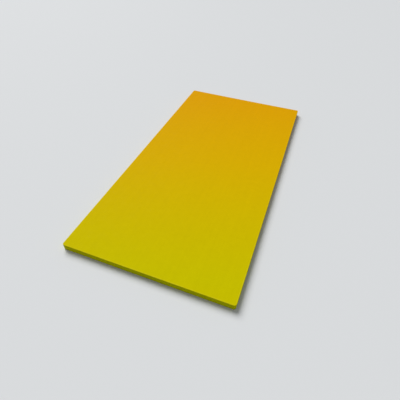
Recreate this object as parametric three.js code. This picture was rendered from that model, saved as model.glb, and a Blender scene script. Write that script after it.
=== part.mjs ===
// A floating pool mat: one flat, springy slab of closed-cell polyethylene foam for swimmers to lie,
// kneel or stand on. It is a laminate of five full-size foam sheets, heat-bonded face to face,
// trimmed to size as one block, with small round corners and its top and bottom edges eased.
//
// Millimetres, +Z up, +Y along the length. The origin is the middle of the underside.

import * as THREE from "three";

// Driving dimensions.
const LENGTH = 2000;
const WIDTH = 1000;
const SKIN_THICKNESS = 5; // the smooth, fine-celled sheet on each face
const CORE_THICKNESS = 10; // each of the coarser-celled sheets between the skins
const CORNER_RADIUS = 14; // the slab's four corners, seen from above
const EDGE_RADIUS = 2; // the eased outer edge of each skin

// How finely the round stretches are divided.
const CORNER_STEPS = 10;
const EDGE_STEPS = 4;

// The sheets from the underside up.
const PLIES = [
  { name: "bottom_skin", thickness: SKIN_THICKNESS, easedEdge: "lower" },
  { name: "lower_core_ply", thickness: CORE_THICKNESS },
  { name: "middle_core_ply", thickness: CORE_THICKNESS },
  { name: "upper_core_ply", thickness: CORE_THICKNESS },
  { name: "top_skin", thickness: SKIN_THICKNESS, easedEdge: "upper" },
];

// Each sheet is dyed in the mass, so skins and core share one yellow. The cut core is duller.
const SKIN_FINISH = { color: 0xd0ad00, roughness: 0.62, metalness: 0 };
const CORE_FINISH = { color: 0xc9a800, roughness: 0.85, metalness: 0 };

// The slab's outline seen from above, drawn in by `inset`: a rectangle with round corners,
// as a ring of points running counter-clockwise.
function outline(inset) {
  const corners = [[1, 1], [-1, 1], [-1, -1], [1, -1]];
  return corners.flatMap(([sideX, sideY], quarter) => {
    const centreX = sideX * (WIDTH / 2 - CORNER_RADIUS);
    const centreY = sideY * (LENGTH / 2 - CORNER_RADIUS);
    return Array.from({ length: CORNER_STEPS + 1 }, (_, step) => {
      const angle = (quarter + step / CORNER_STEPS) * (Math.PI / 2);
      return new THREE.Vector2(
        centreX + (CORNER_RADIUS - inset) * Math.cos(angle),
        centreY + (CORNER_RADIUS - inset) * Math.sin(angle),
      );
    });
  });
}

// The heights and insets of a sheet's edge, from the bottom up: a straight cut wall, with a
// quarter round where the sheet's edge is an outer edge of the slab.
function edgeLevels(bottom, top, easedEdge) {
  if (!easedEdge) return [{ z: bottom, inset: 0 }, { z: top, inset: 0 }];
  const rising = Array.from({ length: EDGE_STEPS + 1 }, (_, step) => {
    const angle = (step / EDGE_STEPS) * (Math.PI / 2);
    return {
      z: top - EDGE_RADIUS * (1 - Math.sin(angle)),
      inset: EDGE_RADIUS * (1 - Math.cos(angle)),
    };
  });
  if (easedEdge === "upper") return [{ z: bottom, inset: 0 }, ...rising];
  const falling = rising.map(({ z, inset }) => ({ z: bottom + top - z, inset })).reverse();
  return [...falling, { z: top, inset: 0 }];
}

// One closed sheet: the outline repeated at each level, walls between neighbouring rings and a
// flat cap on the lowest and the highest ring.
function sheetGeometry(levels) {
  const rings = levels.map(({ inset }) => outline(inset));
  const count = rings[0].length;
  const positions = rings.flatMap((ring, level) =>
    ring.flatMap((point) => [point.x, point.y, levels[level].z]),
  );

  const faces = [];
  for (let level = 0; level + 1 < rings.length; level++) {
    for (let i = 0; i < count; i++) {
      const here = level * count + i;
      const next = level * count + ((i + 1) % count);
      faces.push(here, next, next + count, here, next + count, here + count);
    }
  }
  const topRing = (rings.length - 1) * count;
  for (const [a, b, c] of THREE.ShapeUtils.triangulateShape(rings[0], [])) {
    faces.push(a, c, b);
    faces.push(topRing + a, topRing + b, topRing + c);
  }

  const geometry = new THREE.BufferGeometry();
  geometry.setAttribute("position", new THREE.Float32BufferAttribute(positions, 3));
  geometry.setIndex(faces);
  const facetted = geometry.toNonIndexed(); // a normal for each face keeps the cut edges crisp
  facetted.computeVertexNormals();
  return facetted;
}

// The mat: the sheets stacked face to face on the ground plane.
function poolMat() {
  const mat = new THREE.Group();
  mat.name = "pool_mat";
  let bottom = 0;
  for (const { name, thickness, easedEdge } of PLIES) {
    const finish = easedEdge ? SKIN_FINISH : CORE_FINISH;
    const levels = edgeLevels(bottom, bottom + thickness, easedEdge);
    const sheet = new THREE.Mesh(sheetGeometry(levels), new THREE.MeshStandardMaterial(finish));
    sheet.name = name;
    mat.add(sheet);
    bottom += thickness;
  }
  return mat;
}

export default poolMat();
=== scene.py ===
"""The looks of a floating pool mat: a flat yellow slab of closed-cell foam, laminated from sheets.

Every foam sheet of the frame gets a detailed piece in its place. All lengths are metres.
"""

import math
import random

import bpy
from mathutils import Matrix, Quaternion, Vector, noise


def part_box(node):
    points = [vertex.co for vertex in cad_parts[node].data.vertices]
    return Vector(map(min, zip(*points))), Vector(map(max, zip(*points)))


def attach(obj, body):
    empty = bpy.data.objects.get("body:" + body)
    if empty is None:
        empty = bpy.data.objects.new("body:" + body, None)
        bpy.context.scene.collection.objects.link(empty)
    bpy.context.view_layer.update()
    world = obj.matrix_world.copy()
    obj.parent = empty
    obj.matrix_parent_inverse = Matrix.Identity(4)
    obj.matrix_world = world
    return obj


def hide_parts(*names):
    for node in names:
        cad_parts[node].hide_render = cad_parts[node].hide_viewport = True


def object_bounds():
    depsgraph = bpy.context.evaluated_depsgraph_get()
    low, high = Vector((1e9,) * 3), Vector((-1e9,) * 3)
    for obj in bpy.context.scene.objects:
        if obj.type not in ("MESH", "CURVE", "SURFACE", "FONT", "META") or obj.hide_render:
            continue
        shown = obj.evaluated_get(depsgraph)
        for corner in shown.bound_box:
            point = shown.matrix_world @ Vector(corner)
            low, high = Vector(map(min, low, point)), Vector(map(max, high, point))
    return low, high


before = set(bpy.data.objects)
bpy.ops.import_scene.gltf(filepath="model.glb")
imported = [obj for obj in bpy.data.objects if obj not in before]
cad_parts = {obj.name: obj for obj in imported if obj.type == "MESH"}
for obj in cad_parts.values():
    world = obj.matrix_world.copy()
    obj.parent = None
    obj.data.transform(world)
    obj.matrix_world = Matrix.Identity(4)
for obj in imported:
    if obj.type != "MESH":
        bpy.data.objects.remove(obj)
cad_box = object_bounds()

MM = 0.001

# The slab's own radii, as in the frame.
CORNER_RADIUS = 14 * MM  # its four corners, seen from above
EDGE_RADIUS = 2 * MM  # the eased outer edges of the two skins

# The sheets, from the underside up: the frame's node, which face of it shows, and its lightness. That
# lightness partly differs from sheet to sheet and partly is painted light: the lower sheets' cut
# walls lighter, the upper core's darker.
SHEETS = [
    ("bottom_skin", "underside", 1.06),
    ("lower_core_ply", None, 1.08),
    ("middle_core_ply", None, 1.00),
    ("upper_core_ply", None, 0.95),
    ("top_skin", "top", 1.00),
]

low, high = cad_box
HALF_WIDTH = (high.x - low.x) / 2
HALF_LENGTH = (high.y - low.y) / 2

# Grid steps of a face that shows and of one hidden in the laminate.
FINE_STEP = 8 * MM
COARSE_STEP = 32 * MM
CORNER_STEPS = 6

RUB_AND_RIM_LIGHT_REACH = 7 * MM  # how far the paler rim, partly rubbing and partly painted light on the eased edge's shade, fades into a skin's face
DENT_FREE_RIM = 12 * MM  # how far the dents take to die away towards the edge

# The cut wall.
KNIFE_ALLOWANCE = 0.5 * MM  # how far inside the frame's outline the wall runs on average
OWN_DRIFT = 0.16 * MM  # how far a core ply's wall wanders on its own
CORE_SWELL = 0.28 * MM  # how far a core ply bulges between its bond lines
SKIN_WALL_RING = 0.35  # the ring of a skin's wall, as a share of its thickness from the bond

# The small notch that a bond line leaves on the cut wall, from the wall to the bond: each
# point's distance from the bond and its inset.
BOND_NOTCH = [(0.9 * MM, 0.0), (0.35 * MM, 0.08 * MM), (0.0, 0.4 * MM)]

# The size of the foam's cells where a sheet is cut.
SKIN_CELL = 1.0 * MM
CORE_CELL = 1.6 * MM


# ---- The slab's small unevenness -----------------------------------------------------------


def ripple(x, y, wavelength, seed):
    """Smooth noise between -1 and 1 that repeats its bumps about every wavelength."""
    return math.tanh(2 * noise.noise(Vector((x / wavelength, y / wavelength, seed))))


def from_edge(x, y):
    """How far a point lies inside the slab's straight edges."""
    return min(HALF_WIDTH - abs(x), HALF_LENGTH - abs(y))


def corner_lift(x, y):
    """Two opposite corners of the slab stay slightly off the floor."""
    far_lift, near_lift = 2.4 * MM, 1.5 * MM
    flat_share = 0.4  # of the way from the middle to either corner
    diagonal = (x / HALF_WIDTH + y / HALF_LENGTH) / 2
    reach = max(0.0, abs(diagonal) - flat_share) / (1 - flat_share)
    return (far_lift if diagonal > 0 else near_lift) * reach**2


def knife_drift(x, y):
    """How far the trimming knife wandered from a straight line, the same for every sheet."""
    return 0.30 * MM * ripple(x, y, 0.30, 3.1) + 0.12 * MM * ripple(x, y, 0.07, 8.7)


def scattered_dents(seed, count, deepest):
    """Shallow round marks of knees, heels and handling: place, radius and depth."""
    picks = random.Random(seed)
    dents = []
    for _ in range(count):
        place = Vector((
            picks.uniform(-0.94, 0.94) * HALF_WIDTH,
            picks.uniform(-0.97, 0.97) * HALF_LENGTH,
        ))
        radius = picks.uniform(9, 34) * MM
        dents.append((place, radius, deepest * picks.uniform(0.35, 1.0)))
    return dents


def dent_depth(x, y, dents):
    """How deep the dents are at a point. They die away towards the eased edge."""
    depth = 0.0
    for place, radius, deepest in dents:
        near = ((x - place.x) ** 2 + (y - place.y) ** 2) / radius**2
        if near < 9:  # within three radii, past which a dent is too shallow to matter
            depth += deepest * math.exp(-near)
    return depth * min(1.0, from_edge(x, y) / DENT_FREE_RIM)


DENTS = {
    "top": scattered_dents(seed=11, count=46, deepest=0.5 * MM),
    "underside": scattered_dents(seed=23, count=60, deepest=0.6 * MM),
}
RELIEF_SEED = {"top": 1.3, "underside": 6.9}


def skin_relief(x, y, face):
    """How far a skin's outer face sinks below its true plane: slow waves, then dents."""
    seed = RELIEF_SEED[face]
    waves = 0.20 * ripple(x, y, 0.34, seed) + 0.06 * ripple(x, y, 0.13, seed + 2)
    return (0.28 - waves) * MM + dent_depth(x, y, DENTS[face])


# ---- Meshes --------------------------------------------------------------------------------


def grid_lines(half, radius, step):
    """Grid lines from -half to half: even steps between the corners, finer ones inside them."""
    straight = half - radius
    count = max(2, round(2 * straight / step))
    middle = [-straight + 2 * straight * i / count for i in range(count + 1)]
    corner = [straight + radius * i / CORNER_STEPS for i in range(1, CORNER_STEPS + 1)]
    return [-c for c in reversed(corner)] + middle + corner


def round_corner(x, y, half_x, half_y, radius):
    """Moves a point of a rectangle's corner square onto the round corner's quarter disc."""
    u, v = (abs(x) - half_x + radius) / radius, (abs(y) - half_y + radius) / radius
    if u <= 0 or v <= 0:
        return x, y
    reach = max(u, v)
    angle = v / u * math.pi / 4 if u >= v else math.pi / 2 - u / v * math.pi / 4
    centre_x, centre_y = half_x - radius, half_y - radius
    return (
        math.copysign(centre_x + radius * reach * math.cos(angle), x),
        math.copysign(centre_y + radius * reach * math.sin(angle), y),
    )


def outward(x, y, half_x, half_y, radius):
    """The outline's outward direction at one of its points."""
    u, v = abs(x) - half_x + radius, abs(y) - half_y + radius
    if u > 0 and v > 0:
        across = Vector((math.copysign(u, x), math.copysign(v, y)))
    elif u > v:
        across = Vector((math.copysign(1, x), 0))
    else:
        across = Vector((0, math.copysign(1, y)))
    return across.normalized()


def face_grid(inset, step):
    """A rounded rectangle as a grid: its points, its quads and its outer ring, which runs
    counter-clockwise seen from above."""
    half_x, half_y = HALF_WIDTH - inset, HALF_LENGTH - inset
    radius = CORNER_RADIUS - inset
    lines_x = grid_lines(half_x, radius, step)
    lines_y = grid_lines(half_y, radius, step)
    columns, rows = len(lines_x), len(lines_y)
    points = [round_corner(x, y, half_x, half_y, radius) for y in lines_y for x in lines_x]
    quads = [
        (at, at + 1, at + 1 + columns, at + columns)
        for row in range(rows - 1)
        for at in range(row * columns, row * columns + columns - 1)
    ]
    ring = (
        list(range(columns - 1))
        + [columns - 1 + row * columns for row in range(rows - 1)]
        + [rows * columns - 1 - i for i in range(columns - 1)]
        + [row * columns for row in range(rows - 1, 0, -1)]
    )
    return points, quads, ring


def eased_edge(steps=5):
    """A quarter round from the face to the wall, as (depth below the face, inset)."""
    turns = [math.pi / 2 * i / steps for i in range(1, steps + 1)]
    return [(EDGE_RADIUS * (1 - math.cos(a)), EDGE_RADIUS * (1 - math.sin(a))) for a in turns]


def sheet_profile(top, bottom, face):
    """A sheet's wall from its upper face down to its lower one. Each level is its height, its
    inset from the outline, and how much it belongs to an eased edge and to a bond line."""
    upper = (
        [(top - depth, inset, 1, 0) for depth, inset in eased_edge()]
        if face == "top"
        else [(top - depth, inset, 0, inset > 0) for depth, inset in reversed(BOND_NOTCH)][1:]
    )
    lower = (
        [(bottom + depth, inset, 1, 0) for depth, inset in reversed(eased_edge())]
        if face == "underside"
        else [(bottom + depth, inset, 0, inset > 0) for depth, inset in BOND_NOTCH][:-1]
    )
    return upper + cut_wall(top, bottom, face) + lower


def cut_wall(top, bottom, face):
    """The levels between a sheet's upper and lower edge: a core ply swells a little."""
    if face == "top":
        return [(bottom + SKIN_WALL_RING * (top - bottom), 0.0, 0, 0)]
    if face == "underside":
        return [(top - SKIN_WALL_RING * (top - bottom), 0.0, 0, 0)]
    down = [0.25, 0.5, 0.75]
    return [(top + (bottom - top) * t, -CORE_SWELL * 4 * t * (1 - t), 0, 0) for t in down]


def wall_point(point, face_inset, height, inset, own_drift):
    """A point of the outline's ring moved out to a level's inset, with the knife's wandering."""
    half_x, half_y = HALF_WIDTH - face_inset, HALF_LENGTH - face_inset
    across = outward(*point, half_x, half_y, CORNER_RADIUS - face_inset)
    drift = knife_drift(*point) + own_drift * ripple(*point, 0.11, height * 40)
    out = face_inset - inset - KNIFE_ALLOWANCE + drift
    x, y = point[0] + across.x * out, point[1] + across.y * out
    return x, y, height + corner_lift(*point)


def face_height(point, height, face, on_face):
    """The height of a face's point, with the relief of the skins' outer faces."""
    z = height + corner_lift(*point)
    if face != on_face:
        return z
    return z - skin_relief(*point, face) if face == "top" else z + skin_relief(*point, face)


def build_sheet(name, bottom, top, face):
    """One closed foam sheet: an upper and a lower grid, joined by rings down the wall. A face is
    either skin (material 0) or cut foam (material 1)."""
    own_drift = 0.0 if face else OWN_DRIFT
    verts, faces, cut, rub_and_rim_light, bond = [], [], [], [], []

    def add_grid(height, on_face):
        shows = face == on_face
        inset = EDGE_RADIUS if shows else BOND_NOTCH[-1][1]
        points, quads, ring = face_grid(inset, FINE_STEP if face else COARSE_STEP)
        first = len(verts)
        edge = set(ring)
        for at, point in enumerate(points):
            x, y, z = point[0], point[1], face_height(point, height, face, on_face)
            if at in edge:
                x, y, _ = wall_point(point, inset, height, inset, own_drift)
            verts.append((x, y, z))
            # The paler rim's mask: partly rubbing, partly painted light on the eased edge's shade.
            rubbing_and_rim_light = 1 - (from_edge(x, y) - EDGE_RADIUS) / RUB_AND_RIM_LIGHT_REACH
            rub_and_rim_light.append(min(1.0, max(0.0, rubbing_and_rim_light)) if shows else 0.0)
            bond.append(0.0 if shows else 1.0)
        turned = quads if on_face == "top" else [quad[::-1] for quad in quads]
        faces.extend(tuple(first + i for i in quad) for quad in turned)
        cut.extend([int(not shows)] * len(turned))
        outline = [points[i] for i in ring]
        return [first + i for i in ring], outline, inset

    def join(above, below, is_cut):
        for i in range(len(above)):
            j = (i + 1) % len(above)
            faces.append((above[i], below[i], below[j], above[j]))
            cut.append(int(is_cut))

    above, outline, inset = add_grid(top, "top")
    was_on_rim = face == "top"
    for height, level_inset, rim_rubbing_and_light, bonded in sheet_profile(top, bottom, face):
        ring = []
        for point in outline:
            x, y, z = wall_point(point, inset, height, level_inset, own_drift)
            if rim_rubbing_and_light:
                z = face_height(point, height, face, face)
            ring.append(len(verts))
            verts.append((x, y, z))
            rub_and_rim_light.append(float(rim_rubbing_and_light))
            bond.append(float(bonded))
        join(above, ring, not (rim_rubbing_and_light and was_on_rim))
        above, was_on_rim = ring, rim_rubbing_and_light
    below, _, _ = add_grid(bottom, "underside")
    join(above, below, face != "underside")

    mesh = bpy.data.meshes.new(name)
    mesh.from_pydata(verts, [], faces)
    for label, values in (("edge_rub_and_rim_light", rub_and_rim_light), ("bond_line", bond)):
        mesh.attributes.new(label, "FLOAT", "POINT").data.foreach_set("value", values)
    mesh.polygons.foreach_set("use_smooth", [True] * len(mesh.polygons))
    mesh.polygons.foreach_set("material_index", cut)
    mesh.update()
    return mesh


# ---- Materials -----------------------------------------------------------------------------


class Shader:
    """A material's node tree, with one short call for each node."""

    def __init__(self, name):
        self.material = bpy.data.materials.new(name)
        self.material.use_nodes = True
        self.tree = self.material.node_tree
        self.tree.nodes.clear()

    def node(self, kind, inputs=None, **settings):
        made = self.tree.nodes.new("ShaderNode" + kind)
        for key, value in settings.items():
            setattr(made, key, value)
        for socket, value in (inputs or {}).items():
            if isinstance(value, bpy.types.NodeSocket):
                self.tree.links.new(value, made.inputs[socket])
            else:
                made.inputs[socket].default_value = value
        return made

    def math(self, operation, a, b=0.0, clamp=False):
        made = self.node("Math", {0: a, 1: b}, operation=operation, use_clamp=clamp)
        return made.outputs[0]

    def remap(self, value, from_low, from_high, to_low, to_high):
        sockets = {"Value": value, "From Min": from_low, "From Max": from_high}
        sockets.update({"To Min": to_low, "To Max": to_high})
        return self.node("MapRange", sockets).outputs[0]

    def noise(self, place, scale, detail=2.0, roughness=0.5):
        """Soft noise with about scale bumps to a metre."""
        sockets = {"Vector": place, "Scale": scale, "Detail": detail, "Roughness": roughness}
        return self.node("TexNoise", sockets).outputs[0]

    def spread(self, noise, low, high):
        """Makes a noise, which stays mostly between 0.3 and 0.7, run from low to high."""
        return self.remap(noise, 0.3, 0.7, low, high)

    def cells(self, place, size):
        """Foam cells of about this size: 0 in the middle of a cell and more towards its wall."""
        sockets = {"Vector": place, "Scale": 1 / size}
        return self.node("TexVoronoi", sockets).outputs["Distance"]

    def cut_cells(self, place, size):
        """Foam cells of about this size that a knife has opened, as how deep each one's cup lies
        between 0 and 1, and how much a point belongs to the walls around the cups."""
        sockets = {"Vector": place, "Scale": 1 / size}
        cup = self.node("TexVoronoi", sockets).outputs["Color"]
        cup = self.node("SeparateColor", {0: cup}).outputs["Red"]
        away = self.node("TexVoronoi", sockets, feature="DISTANCE_TO_EDGE").outputs["Distance"]
        wall_half = 0.22  # of a cell
        return cup, self.remap(away, 0.0, wall_half, 1.0, 0.0)

    def pinholes(self, place, spacing, radius):
        """Scattered burst cells, as 1 in a hole and 0 around it."""
        distance = self.cells(place, spacing)
        return self.remap(distance, 0.6 * radius / spacing, radius / spacing, 1.0, 0.0)

    def stretched(self, place, scale):
        sockets = {"Vector": place, "Scale": scale}
        return self.node("Mapping", sockets).outputs[0]

    def attribute(self, name):
        return self.node("Attribute", attribute_name=name).outputs["Fac"]

    def mix(self, factor, a, b, blend="MIX"):
        sockets = {0: factor, 6: a, 7: b}
        made = self.node("Mix", sockets, data_type="RGBA", blend_type=blend)
        return made.outputs[2]

    def bump(self, height, distance, normal=None):
        sockets = {"Height": height, "Distance": distance, "Strength": 1.0}
        if normal is not None:
            sockets["Normal"] = normal
        return self.node("Bump", sockets).outputs[0]

    def finish(self, **inputs):
        sockets = {key.replace("_", " "): value for key, value in inputs.items()}
        surface = self.node("BsdfPrincipled", sockets)
        self.node("OutputMaterial", {"Surface": surface.outputs[0]})
        return self.material


# The foam's yellow at the slab's near end, its middle and its far end, as linear colours, and how
# much
# the change leans across the slab: towards the far end's left corner. The change, greener near and
# warmer far, is painted light.
DYE_WITH_PAINTED_LIGHT = [(0.572, 0.509, 0.0004), (0.688, 0.420, 0.0003), (0.735, 0.352, 0.0003)]
PAINTED_LIGHT_LEAN = -0.25

RUBBED_AND_LIT_YELLOW = (0.80, 0.68, 0.03, 1.0)  # of grazes, and of the paler rim along the edges, which is partly rubbing and partly painted light lifting the eased edge's shade
PAINTED_GREEN_SHADE_TINT = (0.82, 0.96, 1.0, 1.0)  # painted shade: the cut walls made greener and a little darker, as under greenish bounced light
BOND_OLIVE = (0.25, 0.20, 0.001, 1.0)  # of the foam melted along a bond line
BOND_STRENGTH = 0.15  # how far the cut foam turns that colour at the bond

# The faint gloss of skin and cut foam.
GLOSS = {"Specular_IOR_Level": 0.015, "Specular_Tint": (1.0, 0.8, 0.03, 1.0)}


def dye_with_painted_light(shader, place):
    """The yellow of the foam, with painted light: warmer from the near end to the far one and a
    little leftwards.
    """
    axes = shader.node("SeparateXYZ", {0: place}).outputs
    along = shader.math("ADD", axes["Y"], shader.math("MULTIPLY", axes["X"], PAINTED_LIGHT_LEAN))
    along = shader.remap(along, -HALF_LENGTH, HALF_LENGTH, 0.0, 1.0)
    ramp = shader.node("ValToRGB", {"Fac": along})
    stops = ramp.color_ramp.elements
    stops.new(0.5)
    for stop, colour in zip(stops, DYE_WITH_PAINTED_LIGHT):
        stop.color = (*colour, 1.0)
    return ramp.outputs["Color"]


def toned(shader, colour, *factors):
    """A colour made lighter or darker by grey factors near 1."""
    for factor in factors:
        grey = shader.node("CombineColor", {0: factor, 1: factor, 2: factor}).outputs[0]
        colour = shader.mix(1.0, colour, grey, "MULTIPLY")
    return colour


def skin_material():
    """The smooth, nearly matt skin: faint mottling and lengthwise streaks from its making, fine cells
    under the surface with a few burst ones painted darker as painted shade in their holes, an
    orange-peel face, light grazes, and a paler rim that is partly rubbing and partly painted light on
    the eased edge's shade."""
    shader = Shader("foam_skin")
    place = shader.node("TexCoord").outputs["Object"]

    mottle = shader.noise(place, 34.0, detail=4.0, roughness=0.6)
    mottle = shader.spread(mottle, 0.985, 1.015)
    streaks = shader.noise(shader.stretched(place, (70.0, 1.6, 70.0)), 1.0, detail=3.0)
    streaks = shader.spread(streaks, 0.988, 1.012)
    cells = shader.cells(place, 1.4 * MM)
    grain = shader.remap(cells, 0.1, 0.8, 1.03, 0.94)
    holes = shader.pinholes(place, 12 * MM, 0.6 * MM)
    # The burst cells are painted darker: painted shade in their holes.
    burst = shader.remap(holes, 0.0, 1.0, 1.0, 0.72)
    colour = toned(shader, dye_with_painted_light(shader, place), mottle, streaks, grain, burst)

    grazes = shader.stretched(place, (14.0, 3.0, 3.0))
    grazes = shader.noise(grazes, 9.0, detail=6.0, roughness=0.7)
    grazed = shader.remap(grazes, 0.66, 0.72, 0.0, 0.12)
    # The paler rim along the edges is partly rubbing and partly painted light lifting the eased edge
    # out of its shade.
    rubbing_and_rim_light = shader.remap(shader.noise(place, 60.0, detail=3.0), 0.38, 0.62, 0.06, 0.36)
    rim_rubbing_and_light = shader.math("MULTIPLY", shader.attribute("edge_rub_and_rim_light"), rubbing_and_rim_light)
    pale = shader.math("MAXIMUM", rim_rubbing_and_light, grazed)
    colour = shader.mix(pale, colour, RUBBED_AND_LIT_YELLOW)

    normal = shader.bump(shader.noise(place, 150.0), 0.30 * MM)
    normal = shader.bump(cells, 0.12 * MM, normal)
    normal = shader.bump(shader.math("MULTIPLY", holes, -1.0), 0.3 * MM, normal)
    roughness = shader.spread(shader.noise(place, 26.0, detail=4.0), 0.54, 0.66)
    return shader.finish(Base_Color=colour, Roughness=roughness, Normal=normal, **GLOSS)


def cut_material(sheet_lightness_and_painted_light, cell_size):
    """The knife-cut wall of a sheet: open cut cells with painted shade in their cups, faint upright
    blade marks, and a denser darker line where the sheets are bonded. The cut walls are painted
    greener and a little darker than the skin, as painted shade under greenish bounced light."""
    shader = Shader(f"foam_cut_{sheet_lightness_and_painted_light:.2f}")
    place = shader.node("TexCoord").outputs["Object"]

    cups, walls = shader.cut_cells(place, cell_size)
    # Deeper cups are painted darker and the cell walls lighter: painted shade in the open cells.
    deep_cup_painted_shade = shader.remap(cups, 0.0, 1.0, 1.02, 0.90)
    cell_wall_painted_light = shader.remap(walls, 0.0, 1.0, 0.98, 1.11)
    mottle = shader.spread(shader.noise(place, 30.0, detail=4.0, roughness=0.6), 0.96, 1.04)
    blade = shader.noise(shader.stretched(place, (1.0, 1.0, 0.05)), 380.0)
    marks = shader.spread(blade, 0.97, 1.03)
    # The cut walls' greener, slightly darker yellow is painted shade under greenish bounced light.
    cut_yellow_with_painted_light = shader.mix(1.0, dye_with_painted_light(shader, place), PAINTED_GREEN_SHADE_TINT, "MULTIPLY")
    # The sheet's lightness factor is partly painted light: the lower sheets' walls lighter, the upper
    # core's darker.
    colour = toned(shader, cut_yellow_with_painted_light, deep_cup_painted_shade, cell_wall_painted_light, mottle, marks, sheet_lightness_and_painted_light)
    bonded = shader.math("MULTIPLY", shader.attribute("bond_line"), BOND_STRENGTH)
    colour = shader.mix(bonded, colour, BOND_OLIVE)

    normal = shader.bump(blade, 0.15 * MM)
    relief = shader.math("SUBTRACT", walls, shader.math("MULTIPLY", cups, 0.4))
    normal = shader.bump(relief, 0.13 * MM, normal)
    return shader.finish(Base_Color=colour, Roughness=0.85, Normal=normal, **GLOSS)


# ---- The mat -------------------------------------------------------------------------------


def make_mat():
    skin = skin_material()
    for node_name, face, sheet_lightness_and_painted_light in SHEETS:
        bottom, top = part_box(node_name)
        piece_name = node_name + "_foam"
        mesh = build_sheet(piece_name, bottom.z, top.z, face)
        mesh.materials.append(skin)
        mesh.materials.append(cut_material(sheet_lightness_and_painted_light, SKIN_CELL if face else CORE_CELL))
        piece = bpy.data.objects.new(piece_name, mesh)
        bpy.context.scene.collection.objects.link(piece)
        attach(piece, "root")
        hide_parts(node_name)


# ---- Stage ---------------------------------------------------------------------------------


def make_floor():
    """A plain pale floor under the mat."""
    shader = Shader("studio_floor")
    material = shader.finish(
        Base_Color=(0.70, 0.71, 0.715, 1.0), Roughness=0.8, Specular_IOR_Level=0.2
    )
    reach = 150.0
    mesh = bpy.data.meshes.new("studio_floor")
    corners = [(-reach, -reach, 0), (reach, -reach, 0), (reach, reach, 0), (-reach, reach, 0)]
    mesh.from_pydata(corners, [], [(0, 1, 2, 3)])
    mesh.materials.append(material)
    floor = bpy.data.objects.new("studio_floor", mesh)
    bpy.context.scene.collection.objects.link(floor)


def make_light():
    """Soft light from behind and to the left, so that the near end stands in its own shade,
    and a weak even light from all round."""
    scene = bpy.context.scene
    scene.view_settings.view_transform = "Standard"
    world = bpy.data.worlds.new("studio_dome")
    world.use_nodes = True
    background = world.node_tree.nodes["Background"]
    background.inputs["Color"].default_value = (0.93, 0.96, 1.0, 1.0)
    background.inputs["Strength"].default_value = 0.30
    scene.world = world

    key = bpy.data.lights.new("key_light", "SUN")
    key.energy = 3.14
    key.angle = math.radians(38)
    lamp = bpy.data.objects.new("key_light", key)
    towards = Vector((-0.62, 0.52, 0.80))
    lamp.rotation_euler = towards.to_track_quat("Z", "Y").to_euler()
    scene.collection.objects.link(lamp)


def make_camera():
    """The eye of someone who stands on the pool's edge, off the near end's right corner."""
    place = Vector((0.561, -1.753, 1.476))
    heading = math.radians(19.27)  # turned left of the mat's length
    tilt = math.radians(44.83)  # down from level
    roll = math.radians(1.92)
    lens_for_400_wide = 320.6  # focal length over the picture's width of 400

    sight = Vector((
        -math.sin(heading) * math.cos(tilt),
        math.cos(heading) * math.cos(tilt),
        -math.sin(tilt),
    ))
    data = bpy.data.cameras.new("camera")
    data.sensor_width = 36.0
    data.lens = data.sensor_width * lens_for_400_wide / 400
    camera = bpy.data.objects.new("camera", data)
    camera.location = place
    camera.rotation_mode = "QUATERNION"
    camera.rotation_quaternion = sight.to_track_quat("-Z", "Y") @ Quaternion((0, 0, 1), roll)
    bpy.context.scene.collection.objects.link(camera)
    bpy.context.scene.camera = camera


make_camera()
make_light()
make_floor()
make_mat()
